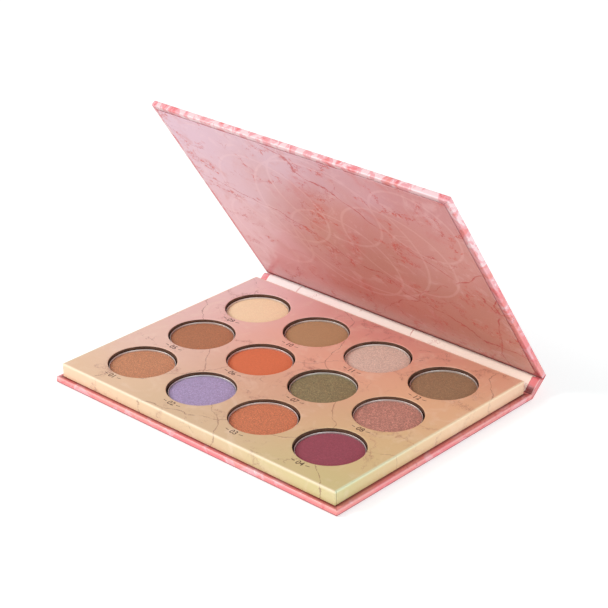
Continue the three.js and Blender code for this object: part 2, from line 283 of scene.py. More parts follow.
class Paint:
    """A node material, with a short call for each kind of node."""

    def __init__(self, name, place="sheet"):
        self.material = bpy.data.materials.new(name)
        self.material.use_nodes = True
        self.tree = self.material.node_tree
        self.shader = self.tree.nodes["Principled BSDF"]
        if place == "sheet":
            source = self.node("ShaderNodeAttribute", attribute_name="sheet")
            self.place = source.outputs["Vector"]
        else:
            source = self.node("ShaderNodeTexCoord")
            self.place = self.vector("SCALE", source.outputs["Object"], scale=1 / MM)
        self.x, self.y, self.z = self.split(self.place)

    def node(self, kind, **settings):
        made = self.tree.nodes.new(kind)
        for key, value in settings.items():
            setattr(made, key, value)
        return made

    def plug(self, socket, value):
        if isinstance(value, bpy.types.NodeSocket):
            self.tree.links.new(value, socket)
        elif value is not None:
            socket.default_value = value

    def set(self, **values):
        """Puts values or links on the shader's own sockets."""
        for key, value in values.items():
            self.plug(self.shader.inputs[key.replace("_", " ")], value)

    def split(self, value):
        """The three parts of a vector or colour."""
        parts = self.node("ShaderNodeSeparateXYZ")
        self.plug(parts.inputs[0], value)
        return parts.outputs

    def math(self, operation, first, second=0.0, third=0.0):
        made = self.node("ShaderNodeMath", operation=operation)
        for socket, value in zip(made.inputs, (first, second, third)):
            self.plug(socket, value)
        return made.outputs[0]

    def times(self, first, second):
        return self.math("MULTIPLY", first, second)

    def minus(self, first, second):
        return self.math("SUBTRACT", first, second)

    def size(self, value):
        return self.math("ABSOLUTE", value)

    def vector(self, operation, first, second=None, scale=None):
        made = self.node("ShaderNodeVectorMath", operation=operation)
        self.plug(made.inputs[0], first)
        self.plug(made.inputs[1], second)
        if scale is not None:
            self.plug(made.inputs["Scale"], scale)
        return made.outputs["Value" if operation in ("DOT_PRODUCT", "DISTANCE") else 0]

    def stretch(self, factors, seed=0.0):
        """The place, stretched by factors and moved to another part of the noise."""
        scaled = self.vector("MULTIPLY", self.place, factors)
        return self.vector("ADD", scaled, (seed, 1.7 * seed, -0.6 * seed))

    def noise(self, size, detail=2.0, roughness=0.5, seed=0.0, place=None, colour=False, bend=0.0):
        """Noise whose features are about size millimetres across."""
        at = place if place is not None else self.stretch((1, 1, 1), seed)
        made = self.node("ShaderNodeTexNoise", noise_dimensions="3D")
        self.plug(made.inputs["Vector"], at)
        self.plug(made.inputs["Scale"], 1 / size)
        self.plug(made.inputs["Detail"], detail)
        self.plug(made.inputs["Roughness"], roughness)
        self.plug(made.inputs["Distortion"], bend)
        return made.outputs["Color" if colour else "Fac"]

    def voronoi(self, size, feature, place, output):
        made = self.node("ShaderNodeTexVoronoi", feature=feature)
        self.plug(made.inputs["Vector"], place)
        self.plug(made.inputs["Scale"], 1 / size)
        return made.outputs[output]

    def ramp(self, value, low, high, to_low=0.0, to_high=1.0):
        """value taken smoothly from low..high to to_low..to_high."""
        made = self.node("ShaderNodeMapRange", interpolation_type="SMOOTHSTEP")
        for socket, number in zip(made.inputs, (value, low, high, to_low, to_high)):
            self.plug(socket, number)
        return made.outputs[0]

    def mix(self, share, first, second):
        made = self.node("ShaderNodeMix", data_type="RGBA")
        self.plug(made.inputs["Factor"], share)
        self.plug(made.inputs[6], first)
        self.plug(made.inputs[7], second)
        return made.outputs[2]

    def cover(self, share, *colour):
        """Lays a display colour over the body."""
        self.body = self.mix(share, self.body, srgb(*colour))

    def bump(self, height, depth, below=None):
        """A bump of depth millimetres for a height of 0 to 1."""
        made = self.node("ShaderNodeBump")
        self.plug(made.inputs["Height"], height)
        self.plug(made.inputs["Distance"], depth * MM)
        self.plug(made.inputs["Normal"], below)
        return made.outputs[0]

    def vein(self, turn, offset, wander, width, seed, gaps=0.35):
        """One marble crack across the sheet: its direction in degrees, its distance from the
        middle, how far it wanders and how wide it is. It fades in and out along its length."""
        angle = math.radians(turn)
        across = self.vector("DOT_PRODUCT", self.place, (-math.sin(angle), math.cos(angle), 0))
        broad = self.noise(30, 2, 0.5, seed)
        fine = self.noise(4.5, 5, 0.7, seed + 9)
        path = self.math("MULTIPLY_ADD", broad, 2 * wander, -wander - offset)
        path = self.math("MULTIPLY_ADD", fine, 0.32 * wander, path)
        away = self.size(self.math("ADD", across, path))
        thick = self.ramp(self.noise(6, 3, 0.7, seed + 21), 0.38, 0.68, 0.3 * width, width)
        line = self.ramp(self.math("DIVIDE", away, thick), 0.2, 1.0, 1.0, 0.0)
        shown = self.ramp(self.noise(14, 3, 0.6, seed + 40), gaps, gaps + 0.14)
        return self.times(line, shown)

    def cracks(self, size, width, seed, gaps=0.5):
        """A broken net of fine cracks with cells of about size millimetres."""
        warp = self.noise(size * 0.5, 5, 0.7, seed, colour=True)
        pushed = self.vector("MULTIPLY_ADD", warp, (size, size, size))
        self.plug(pushed.node.inputs[2], self.place)
        edge = self.voronoi(size, "DISTANCE_TO_EDGE", pushed, "Distance")
        thick = self.ramp(self.noise(5, 3, 0.7, seed + 5), 0.4, 0.7, 0.25, 1.0)
        reach = self.times(thick, width / size)
        line = self.ramp(self.math("DIVIDE", edge, reach), 0.2, 1, 1, 0)
        shown = self.ramp(self.noise(20, 3, 0.6, seed + 31), gaps, gaps + 0.1)
        return self.times(line, shown)

    def field(self, across, along, columns, rows):
        """Colours given at three columns and several rows of places, blended smoothly between."""
        left, middle, right = columns
        blended = None
        last = None
        for level, colours in rows:
            first, second, third = (srgb(*colour) for colour in colours)
            row = self.mix(self.ramp(across, left, middle), first, second)
            row = self.mix(self.ramp(across, middle, right), row, third)
            if blended is None:
                blended = row
            else:
                blended = self.mix(self.ramp(along, last, level), blended, row)
            last = level
        return blended

    def outside(self, half_x, half_y, middle_y):
        """Distance outside a rectangle centred on X, negative inside it, and how much further
        out the place is along X than along Y, which is 0 on the corners' diagonals."""
        reach_x = self.minus(self.size(self.x), half_x)
        reach_y = self.minus(self.size(self.minus(self.y, middle_y)), half_y)
        return self.math("MAXIMUM", reach_x, reach_y), self.minus(reach_x, reach_y)

    def greatest(self, values):
        result = values[0]
        for value in values[1:]:
            result = self.math("MAXIMUM", result, value)
        return result

    def marbling(self, veins, nets):
        """Single veins and nets of cracks together. Each row holds the values of one call."""
        lines = [self.vein(*row) for row in veins] + [self.cracks(*row) for row in nets]
        return self.greatest(lines)


def finish_paper(paint, fibre_size, rough, coat, tooth, waves=None):
    """A paper's surface: least and most roughness, weight and roughness of the coat, the fibre's
    depth, and the size, seed and depth of slow waves in the sheet."""
    fibre = paint.noise(fibre_size, 3, 0.6, 5)
    below = paint.bump(paint.noise(waves[0], 2, 0.5, waves[1]), waves[2]) if waves else None
    paint.set(
        Base_Color=paint.body,
        Roughness=paint.ramp(fibre, 0.3, 0.7, *rough),
        Coat_Weight=coat[0],
        Coat_Roughness=coat[1],
        Normal=paint.bump(fibre, tooth, below),
    )
    return paint.material


def wrap_paper(
    name,
    panel_middle=None,
    fold=None,
    tray=None,
    pale=(0, 1, 0.0, 0.0),
    inner_from=INSIDE - 0.35,
    deep=(84, 20, 14),
    ends=None,
    grounded=False,
    swirl_size=11,
):
    """Vivid pink marbled paper with pale streaks of swirl_size, coated to a satin gloss. pale gives
    two places across the sheet and how much paler the streaks are at each.

    The inner face starts at the height inner_from. Painted shade darkens it to the colour deep
    where it runs into the fold, given as two places across the sheet and the light at each, or
    under the tray, given by its plan, and it has a fine seam at each mitre of the panel round
    panel_middle.
    ends is the reach of end faces that are seen, with a painted highlight along their rim. grounded
    paints shade low on the edge on the table, a highlight at its turn and a contact shadow at its
    foot."""
    paint = Paint(name)
    swirl = paint.noise(swirl_size, 4, 0.55, place=paint.stretch((1, 0.6, 1), 3), bend=1.6)
    swirl = paint.math("ADD", swirl, paint.ramp(paint.y, *pale))
    cloud = paint.noise(26, 3, 0.5, 17, bend=0.8)
    streak = paint.noise(7, 4, 0.6, 29, bend=2.0)
    paint.body = paint.mix(paint.ramp(cloud, 0.42, 0.6), srgb(238, 124, 130), srgb(236, 140, 136))
    paint.cover(paint.ramp(streak, 0.56, 0.66, 0, 0.7), 222, 98, 108)
    paint.cover(paint.ramp(swirl, 0.5, 0.56, 0, 0.8), 240, 170, 178)
    paint.cover(paint.ramp(swirl, 0.6, 0.67), 247, 208, 212)
    if grounded:
        # The edge that stands on the table: painted shade, deeper pink low down, and a painted
        # highlight, paler at the turn.
        painted_low_shade = paint.ramp(paint.z, OUTSIDE + 0.1, OUTSIDE + 1.4, 0.5, 0)
        paint.cover(painted_low_shade, 214, 76, 90)
        painted_highlight = paint.times(
            paint.ramp(paint.z, 1.2, 1.8, 0, 0.26),
            paint.ramp(paint.z, INSIDE - 0.2, INSIDE - 0.05, 1, 0),
        )
        paint.cover(painted_highlight, 250, 212, 206)
    cracks = paint.cracks(34, 0.5, 8, 0.5)
    paint.cover(paint.times(cracks, 0.65), 140, 50, 58)
    inner = paint.ramp(paint.z, inner_from, inner_from + 0.25)
    # Painted shade on the inner face: darker round the tray's foot and into the fold. The mitre
    # seams, dark joints in the paper, join the same mask.
    shade = 1.0
    if tray:
        away, corner = paint.outside(*tray)
        shade = paint.ramp(away, 0.2, 1.5, 0.25, 0.92)
    if fold:
        shade = paint.times(shade, paint.ramp(paint.y, *fold))
    if panel_middle is not None:
        away, corner = paint.outside(PANEL_X, PANEL_DEPTH / 2, panel_middle)
        seam = paint.ramp(paint.size(corner), 0.05, 0.16, 0.5, 1)
        shade = paint.times(shade, seam)
    if tray or fold or panel_middle is not None:
        paint.cover(paint.times(paint.minus(1.0, shade), inner), *deep)
    if ends:
        reach = paint.size(paint.x)
        # Painted highlight along the rounded rim of each seen end.
        rim = paint.ramp(reach, ends - 0.5, ends - 0.25, 0, 0.7)
        rim = paint.times(rim, paint.ramp(paint.z, 0.3, 0.9))
        paint.cover(rim, 252, 206, 204)
        face = paint.ramp(reach, ends - 0.12, ends - 0.04, 0, 0.85)
        paint.cover(face, 214, 108, 112)
    if grounded:
        # Painted contact shadow: a dark line at the foot of the edge on the table.
        low = paint.ramp(paint.z, OUTSIDE + 0.2, OUTSIDE + 0.5, 0.9, 0)
        near = paint.ramp(away, -0.5, -0.25)
        paint.cover(paint.times(low, near), 60, 48, 48)
    return finish_paper(paint, 0.5, (0.32, 0.46), (0.3, 0.22), 0.012, (9, 2, 0.05))


def lid_liner_paper():
    """The sheet inside the lid: rose marble, lilac at the free left, warmer at the hinge."""
    paint = Paint("lid_liner_paper")
    cloud = paint.noise(24, 4, 0.55, 11, bend=0.8)
    drift = paint.minus(cloud, 0.5)
    along = paint.math("MULTIPLY_ADD", drift, 40, paint.x)
    across = paint.math("MULTIPLY_ADD", drift, -34, paint.minus(paint.y, LID_SHIFT))
    paint.body = paint.field(along, across, (-64, 0, 62), LID_COLOURS)
    mist = paint.noise(12, 5, 0.6, 23, bend=1.5)
    paint.cover(paint.ramp(mist, 0.52, 0.72, 0, 0.3), 236, 196, 198)
    flush = paint.noise(15, 4, 0.6, 37, bend=1.0)
    paint.cover(paint.ramp(flush, 0.54, 0.72, 0, 0.4), 202, 108, 104)
    veins = paint.marbling(LID_VEINS, [(22, 0.55, 2, 0.47), (9, 0.4, 12, 0.55)])
    paint.cover(paint.times(veins, 0.8), 182, 44, 50)
    spots = paint.noise(2.2, 4, 0.7, 61)
    near = paint.times(paint.cracks(22, 5.5, 2, 0.46), 0.9)
    stain = paint.times(paint.ramp(spots, 0.5, 0.64), near)
    paint.cover(stain, 200, 74, 66)
    rings = []
    for middle_x, middle_y, radius in LID_CIRCLES:
        middle = (middle_x, middle_y + LID_SHIFT, INSIDE + LINER)
        reach = paint.vector("DISTANCE", paint.place, middle)
        away = paint.size(paint.minus(reach, radius))
        rings.append(paint.ramp(away, 0.3, 0.8, 1, 0))
    paint.cover(paint.times(paint.greatest(rings), 0.14), 250, 214, 214)
    return finish_paper(paint, 0.6, (0.34, 0.46), (0.3, 0.22), 0.008, (14, 6, 0.04))


def spine_liner_paper():
    """Cream paper with a faint blush and a few crossing cracks."""
    paint = Paint("spine_liner_paper")
    cloud = paint.noise(18, 4, 0.55, 7, bend=0.8)
    along = paint.math("MULTIPLY_ADD", cloud, 40, paint.x)
    paint.body = paint.mix(paint.ramp(along, -70, 80), srgb(255, 250, 248), srgb(255, 238, 222))
    paint.cover(paint.ramp(cloud, 0.5, 0.75, 0, 0.4), 255, 224, 224)
    veins = paint.marbling(SPINE_VEINS, [(24, 0.4, 12, 0.5)])
    paint.cover(paint.times(veins, 0.6), 190, 96, 90)
    return finish_paper(paint, 0.5, (0.42, 0.56), (0.15, 0.3), 0.01)


def tray_paper():
    """The tray's cover: rose at the hinge to peach and khaki at the front, finely cracked."""
    paint = Paint("tray_paper")
    cloud = paint.noise(26, 4, 0.55, 31, bend=0.7)
    drift = paint.minus(cloud, 0.5)
    along = paint.math("MULTIPLY_ADD", drift, 30, paint.x)
    across = paint.math("MULTIPLY_ADD", drift, 26, paint.minus(paint.y, BASE_SHIFT))
    paint.body = paint.field(along, across, (-67, 0, 67), TRAY_COLOURS)
    mist = paint.noise(10, 5, 0.6, 43, bend=1.2)
    paint.cover(paint.ramp(mist, 0.5, 0.75, 0, 0.3), 250, 226, 206)
    veins = paint.marbling(TRAY_VEINS, [(19, 0.34, 6, 0.48), (8, 0.26, 16, 0.56)])
    paint.cover(paint.times(veins, 0.6), 136, 82, 74)
    halo = paint.noise(6, 4, 0.6, 77, bend=1.0)
    smudge = paint.times(paint.cracks(19, 3.0, 6, 0.5), halo)
    paint.cover(paint.times(smudge, 0.35), 176, 110, 100)
    # A painted highlight runs pale round the top edge, mint on the right face towards the front,
    # and the right face is lighter towards the hinge.
    away, corner = paint.outside(*TRAY_PLAN)
    fold = paint.times(
        paint.ramp(away, -1.1, -0.2),
        paint.ramp(paint.z, TRAY_TOP - 1.3, TRAY_TOP - 0.25),
    )
    to_right = paint.ramp(corner, -0.3, 0.3)
    backwards = paint.ramp(paint.y, BASE_SHIFT - 45, BASE_SHIFT + 30)
    painted_highlight_right = paint.mix(backwards, srgb(226, 238, 206), srgb(255, 238, 204))
    painted_highlight = paint.mix(to_right, srgb(255, 236, 208), painted_highlight_right)
    paint.body = paint.mix(paint.times(fold, 0.6), paint.body, painted_highlight)
    right_face = paint.ramp(paint.x, tray_high.x - 0.5, tray_high.x - 0.05)
    tint = paint.times(right_face, paint.times(backwards, 0.5))
    paint.cover(tint, 252, 218, 184)
    # The paper's overlap runs up the right face, near the front.
    side = paint.ramp(paint.x, tray_high.x - 0.12, tray_high.x - 0.05)
    overlap = paint.minus(paint.y, tray_low.y + BASE_SHIFT + 0.75)
    seam = paint.ramp(paint.size(overlap), 0.06, 0.2, 0.7, 0)
    paint.cover(paint.times(seam, side), 120, 96, 50)
    return finish_paper(paint, 0.5, (0.4, 0.54), (0.2, 0.3), 0.01, (8, 2, 0.03))


def greyboard(name="greyboard", place="sheet"):
    """Cut board: brown pressed fibre in thin layers."""
    paint = Paint(name, place)
    layers = paint.noise(0.5, 4, 0.7, place=paint.stretch((0.12, 0.12, 1.6), 4))
    flecks = paint.noise(0.35, 4, 0.75, 9)
    paint.body = paint.mix(paint.ramp(layers, 0.35, 0.65), srgb(74, 45, 33), srgb(128, 90, 69))
    paint.cover(paint.ramp(flecks, 0.52, 0.64, 0, 0.7), 58, 34, 24)
    rough = paint.math("ADD", layers, flecks)
    paint.set(Base_Color=paint.body, Roughness=0.92, Normal=paint.bump(rough, 0.05))
    return paint.material


def pan_metal():
    """Drawn tinplate with faint turning marks."""
    paint = Paint("pan_metal", "object")
    marks = paint.noise(0.4, 3, 0.6, place=paint.stretch((0.3, 0.3, 3), 2))
    paint.set(
        Base_Color=paint.mix(marks, srgb(226, 220, 216), srgb(242, 238, 236)),
        Metallic=0.85,
        Roughness=paint.ramp(marks, 0.3, 0.7, 0.42, 0.55),
        Normal=paint.bump(marks, 0.004),
    )
    return paint.material


def speckled(name, size, dark, light, rough, metallic=0.0):
    """A plain finish that varies between two display colours and two roughnesses."""
    paint = Paint(name, "object")
    speck = paint.noise(size, 3, 0.6, 3)
    paint.set(
        Base_Color=paint.mix(speck, srgb(*dark), srgb(*light)),
        Metallic=metallic,
        Roughness=paint.ramp(speck, 0.3, 0.7, *rough),
    )
    return paint.material


def powder(name, colour, shimmer, glint, seed):
    """Pressed powder: fine grain and, where shimmer is above 0, mica flakes that each catch the
    light at their own angle. glint sets how much brighter the brightest specks are."""
    paint = Paint(name)
    grain = paint.noise(0.38, 4, 0.75, seed)
    cloud = paint.noise(2.6, 4, 0.6, seed + 3)
    contrast = 0.08 + 0.36 * shimmer
    deep = tuple((1 - 0.8 * contrast) * channel for channel in colour[:3]) + (1.0,)
    pale = tuple(min(1.0, (1 + contrast) * channel) for channel in colour[:3]) + (1.0,)
    body = paint.mix(paint.ramp(grain, 0.36, 0.66), deep, pale)
    body = paint.mix(paint.ramp(cloud, 0.3, 0.7, 0, 0.25), body, colour)
    flakes = paint.voronoi(FLAKE_SIZE, "F1", paint.place, "Color")
    bright, dull, _ = paint.split(flakes)
    # Squared, so most specks are a little dull and a few are bright; the mean stays.
    speck = paint.math("MULTIPLY_ADD", paint.math("POWER", bright, 2), 3 * glint, 1 - glint)
    body = paint.vector("SCALE", body, scale=speck)
    surface = paint.bump(grain, 0.05, paint.bump(cloud, 0.05))
    if shimmer:
        lean = paint.vector("SUBTRACT", flakes, (0.5, 0.5, 0.5))
        lean = paint.vector("SCALE", lean, scale=0.45 * shimmer)
        surface = paint.vector("NORMALIZE", paint.vector("ADD", surface, lean))
    paint.set(
        Base_Color=body,
        Roughness=paint.ramp(dull, 0, 1, 0.85 - 0.5 * shimmer, 0.95 - 0.4 * shimmer),
        Metallic=0.5 * shimmer,
        Sheen_Weight=0.1 * (1 - shimmer),
        Sheen_Roughness=0.5,
        Normal=surface,
    )
    return paint.material


# tray paints shade on the inner margin round the tray's foot, towards the brick red deep; grounded
# paints shade, a highlight and a contact shadow on the edge on the table.
BASE_WRAP = wrap_paper(
    "wrap_paper_base",
    panel_middle=BASE_SHIFT,
    tray=TRAY_PLAN,
    pale=(0, 1, -0.04, -0.04),
    deep=(122, 24, 16),
    grounded=True,
)
# fold paints shade on the inner margin along the hinge crease, towards the brown deep.
LID_WRAP = wrap_paper(
    "wrap_paper_lid",
    panel_middle=LID_SHIFT + CREASE_GAP + PANEL_DEPTH / 2,
    fold=(LID_SHIFT + CREASE_GAP, LID_SHIFT + CREASE_GAP + 3, 0.2, 0.75),
    pale=(LID_SHIFT + 8, LID_SHIFT + 112, -0.06, 0.13),
    deep=(66, 34, 24),
    swirl_size=7,
)
# fold paints shade deep maroon low in the spine's fold.
SPINE_WRAP = wrap_paper(
    "wrap_paper_spine", fold=(2.6, 4.7, 0.26, 0.96), inner_from=0.4, deep=(92, 6, 18), ends=PANEL_X
)
WRAP = wrap_paper("wrap_paper")
LID_LINER = lid_liner_paper()
SPINE_LINER = spine_liner_paper()
TRAY_PAPER = tray_paper()
BOARD = greyboard()
HIDDEN_BOARD = greyboard("greyboard_inner", "object")
METAL = pan_metal()
NICKEL = speckled("magnet_nickel", 0.6, (186, 186, 184), (206, 206, 206), (0.18, 0.3), 1.0)
INK = speckled("printing_ink", 0.3, (58, 28, 27), (78, 42, 40), (0.4, 0.6))

# ---- Case panels ----

EDGE_ROUND = 0.6  # of the edge at the inner face
OUTER_ROUND = 0.2  # of the edge at the outer face
PLAN_ROUND = 0.45
TURN_IN = 12
LINER_INSET = 2.3
LINER_ROUND = 1.5
# How the paper dips at the liner's edge, as inset from it and depth.
GROOVE = [(-0.45, 0), (-0.3, 0.03), (-0.2, 0.15), (0.3, 0.15), (0.4, 0)]
MITRE_ROUND = 0.16
MITRE_DIP = 0.12
LAST_INSET = 9  # of the innermost ring on a panel's outer face
SIDE_STOPS = 24


def panel_profile(groove_at=None):
    """Across a wrapped panel's edge, as [inset, height]: outer face, edge, turned-in paper and
    inside, with a groove round the liner when its inset is given."""
    profile = [(LAST_INSET, OUTSIDE), (1.6, OUTSIDE), (0.4, OUTSIDE)]
    outer = arc((0, OUTSIDE + OUTER_ROUND), OUTER_ROUND, -90, 0, 3)
    inner = arc((0, INSIDE - EDGE_ROUND), EDGE_ROUND, 0, 90, 7)
    profile += [(OUTER_ROUND - x, z) for x, z in outer]
    profile += [(0, OUTSIDE + 1.0)]
    profile += [(EDGE_ROUND - x, z) for x, z in inner]
    if groove_at:
        profile += [(groove_at + further, INSIDE - depth) for further, depth in GROOVE]
    under, over = INSIDE - PAPER, OUTSIDE + PAPER
    profile += [(4.5, INSIDE), (TURN_IN - 0.1, INSIDE), (TURN_IN, INSIDE - 0.06)]
    profile += [(TURN_IN, under), (PAPER + 0.7, under), (PAPER, under - 0.5)]
    return profile + [(PAPER, over + 0.2), (PAPER + 0.2, over), (LAST_INSET, over)]


def wrapped_panel(name, place, shift, middle_y, finish, groove_at=None):
    """A board's paper cover, turned in round the inner face and mitred at its corners."""
    draft = Draft()
    half_x, half_y = PANEL_X, PANEL_DEPTH / 2
    stops_x = spread(half_x - TURN_IN - 1, SIDE_STOPS)
    stops_y = spread(half_y - TURN_IN - 1, SIDE_STOPS)
    rings = []
    for inset, z in panel_profile(groove_at):
        on_top = z > INSIDE - 0.3 and inset > 0.3
        radius = max(PLAN_ROUND - inset, MITRE_ROUND if on_top else 0.05)
        dip = MITRE_DIP if on_top and inset > 0.6 and z > INSIDE - 0.1 else 0
        size = half_x - inset, half_y - inset
        rings.append(rounded_ring(*size, radius, stops_x, stops_y, z, middle_y, dip))
    draft.body(rings)
    return draft.make(name, place, shift, finish)


case_base = wrapped_panel("case_base", base_place, BASE_SHIFT, 0, BASE_WRAP)
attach(case_base, "base")
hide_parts("base_wrap")

lid_middle = CREASE_GAP + PANEL_DEPTH / 2
case_lid = wrapped_panel("case_lid", lid_place, LID_SHIFT, lid_middle, LID_WRAP, LINER_INSET)
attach(case_lid, "lid")
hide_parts("lid_wrap")


def flat_liner():
    """The sheet inside the lid, with small round corners, its middle filled level with the
    turn-ins."""
    draft = Draft()
    half_x = PANEL_X - LINER_INSET
    half_y = PANEL_DEPTH / 2 - LINER_INSET
    bottom = INSIDE + 0.02
    top = INSIDE + 0.05 + LINER
    stops_x = spread(half_x - 4, SIDE_STOPS)
    stops_y = spread(half_y - 4, SIDE_STOPS)
    profile = [(8, bottom), (0.1, bottom), (0, bottom + 0.04), (0, top - 0.07)]
    profile += [(0.04, top - 0.02), (0.12, top), (0.6, top), (8, top)]
    rings = []
    for inset, z in profile:
        size = half_x - inset, half_y - inset, max(LINER_ROUND - inset, 0.3)
        rings.append(rounded_ring(*size, stops_x, stops_y, z, lid_middle))
    draft.body(rings)
    return draft.make("lid_liner_sheet", lid_place, LID_SHIFT, LID_LINER)


lid_liner_sheet = flat_liner()
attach(lid_liner_sheet, "lid")
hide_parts("lid_liner")

# ---- Spine ----


STATIONS = 36
END_ROUND = 0.35  # of the spine's visible ends
CREASE_REACH = 0.4  # from each crease to where the stiff spine starts
SPINE_TUCK = 3.6  # how far the spine liner stays inside the ends


def drawn(name, outline, half_x, material, end_round=0.0):
    """A closed section of the spine, [y, z] points drawn along X. Its ends are drawn in by
    end_round."""
    draft = Draft()
    middle = np.mean(np.array(outline), axis=0)
    stops = [-half_x] + spread(half_x - 0.5, STATIONS) + [half_x]
    if end_round:
        last = [half_x - end_round, half_x - 0.3 * end_round, half_x]
        first = [-x for x in reversed(last)]
        stops = first + spread(half_x - end_round - 0.5, STATIONS) + last
    rings = []
    for x in stops:
        depth = max(0.0, 1 - (half_x - abs(x)) / end_round) if end_round else 0.0
        pull = end_round * (1 - math.sqrt(1 - depth**2)) if depth else 0.0
        ring = []
        for y, z in outline:
            reach = np.array((y, z)) - middle
            inward = reach * max(0.0, 1 - pull / np.linalg.norm(reach))
            ring.append((x, *(middle + inward)))
        rings.append(ring)
    draft.body(rings)
    return draft.make(name, spine_place, 0, material)


# The spine's inner side, across from the base's crease and up from the outer paper's middle.
LENS = [(CREASE_REACH, 0.2), (1.6, 0.2), (2.5, 0.26), (2.74, 0.8), (2.86, 1.5), (3.15, 2.02)]
LENS += [(4.0, 2.33), (5.4, 2.36), (6.8, 2.3), (7.7, 2.05), (8.08, 1.5), (8.24, 0.8)]
LENS += [(8.45, 0.3), (9.2, 0.22), (SPINE_WIDTH - CREASE_REACH, 0.2)]
lens_top = smooth_line(LENS)
lens_outline = [(CREASE_REACH, OUTSIDE)] + lens_top + [(SPINE_WIDTH - CREASE_REACH, OUTSIDE)]
spine_cover = drawn("spine_cover", lens_outline[::-1], PANEL_X, SPINE_WRAP, END_ROUND)
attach(spine_cover, "spine")
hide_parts("spine_wrap", "spine_board")


def lifted(line, height):
    """The line moved outward along its normals."""
    points = np.array(line, float)
    along = np.gradient(points, axis=0)
    normal = np.stack([-along[:, 1], along[:, 0]], axis=1)
    normal /= np.linalg.norm(normal, axis=1)[:, None]
    return [tuple(point) for point in points + normal * height]


liner_line = [point for point in lens_top if 3.12 < point[0] < SPINE_WIDTH - 0.8]
liner_outline = lifted(liner_line, 0.02) + lifted(liner_line, LINER)[::-1]
spine_liner_strip = drawn(
    "spine_liner_strip", liner_outline, PANEL_X - SPINE_TUCK, SPINE_LINER
)
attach(spine_liner_strip, "spine")
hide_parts("spine_liner")


BEND_STEPS = 8
BEND_REACH = 0.32  # from a crease to either end of its bend
BASE_REACH = 0.85  # from the base's crease to the far edge of its bending paper
CREASE_TOP = 0.16  # the bending paper's inner face, up from the outer paper's middle


def make_crease(name, before_place, start_y, turn, shift):
    """The paper that bends at a crease, as far onto the next panel as start_y is onto this one."""
    bend = math.radians(turn)
    onward = np.array((math.cos(bend), math.sin(bend)))
    radius = BEND_REACH / math.tan(bend / 2)
    line = [(start_y, 0.0)]
    # The bend's centre lies on the inner side, radius away from both straight runs.
    for step in range(BEND_STEPS + 1):
        angle = bend * step / BEND_STEPS
        line.append((-BEND_REACH + radius * math.sin(angle), radius * (1 - math.cos(angle))))
    line.append(tuple(-start_y * onward))
    outline = lifted(line, OUTSIDE) + lifted(line, CREASE_TOP)[::-1]
    draft = Draft()
    stops = [-PANEL_X + 0.05] + spread(PANEL_X - 0.5, 30) + [PANEL_X - 0.05]
    draft.body([[(x, y, z) for y, z in outline] for x in stops])
    strip = draft.make(name, before_place, shift, WRAP)
    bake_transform(strip)


# The lid's crease lies at the far edge of the spine, in the spine's own section.
lid_crease_place = spine_place.copy()
lid_crease_place.translation = crease_b
base_crease_place = Matrix.Translation(crease_a)
lid_bend = LID_TURN - SPINE_TURN
make_crease("crease_base", base_crease_place, -BASE_REACH, SPINE_TURN, 0)
make_crease("crease_lid", lid_crease_place, -CREASE_REACH, lid_bend, SPINE_WIDTH)


def from_base(across, up):
    """A point of the base's section, from its crease, as seen in the spine's section at rest."""
    turn = math.radians(SPINE_TURN)
    cos, sin = math.cos(turn), math.sin(turn)
    return across * cos + up * sin, up * cos - across * sin


# The paper that runs from the base's top edge up onto the spine.
BRIDGE_START = [(-1.35, 0.03), (-0.75, 0.08), (-0.34, 0.2), (-0.02, 0.5), (0.3, 0.94)]
BRIDGE_TOP = smooth_line(
    [from_base(across, INSIDE + up) for across, up in BRIDGE_START]
    + [(2.95, 2.26), (3.5, 2.36), (4.2, 2.385)]
)
BRIDGE_UNDER = [(4.1, 2.2), (3.3, 1.9), (2.95, 1.0), (2.5, 0.2), (1.4, 0.14), (0.35, 0.12)]
BRIDGE_UNDER += [from_base(-0.42, 0.15), from_base(-0.42, INSIDE - 0.3)]
BRIDGE_UNDER += [from_base(-0.7, INSIDE + 0.01)]


def bend_with_base(piece):
    """Bakes a piece's place into its points, so it stays where it is drawn."""
    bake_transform(piece)


bridge = drawn("hinge_bridge", BRIDGE_TOP + BRIDGE_UNDER, PANEL_X, SPINE_WRAP, END_ROUND)
bend_with_base(bridge)
bridge_liner = drawn(
    "hinge_bridge_liner",
    lifted(BRIDGE_TOP[2:], 0.02)[::-1] + lifted(BRIDGE_TOP[2:], 0.14),
    PANEL_X - SPINE_TUCK,
    SPINE_LINER,
)
bend_with_base(bridge_liner)

# ---- Tray ----

COLUMNS, ROWS = 4, 3
PAN_NUMBERS = range(1, COLUMNS * ROWS + 1)
TRAY_ROUND = 0.4
LOWER_ROUND = 0.4
WELL_STEPS = 64
TRAY_TURN_IN = 8
TRAY_UNDER = TRAY_TURN_IN - 2.4  # the part of the turn-in under the board strips
tray_middle = Vector(((tray_low.x + tray_high.x) / 2, (tray_low.y + tray_high.y) / 2, 0))
tray_half = Vector((tray_high.x - tray_middle.x, tray_high.y - tray_middle.y, 0))


def pan_centre(number):
    low, high = box_mm(f"pan_{number:02d}")
    return (low + high) / 2


PITCH = pan_centre(2).x - pan_centre(1).x
WELL_RADIUS = 13.6
# How the cover turns down into a well, as distance outside its radius and depth.
LIP = [(0.5, 0), (0.26, 0.01), (0.1, 0.05), (0.01, 0.13), (0, 0.22), (0.18, 0.22)]
LIP_RADIUS = WELL_RADIUS + LIP[0][0]
centres = [pan_centre(number) for number in PAN_NUMBERS]


def cell_stops(count):
    """Where the rays of each well cross the cell borders along one side of the block."""
    quarter = WELL_STEPS // 4
    stops = []
    for cell in range(count):
        middle = (cell - (count - 1) / 2) * PITCH
        for step in range(quarter):
            angle = math.radians(-45 + 90 * step / quarter)
            if cell or step:
                stops.append(middle + PITCH / 2 * math.tan(angle))
    return stops


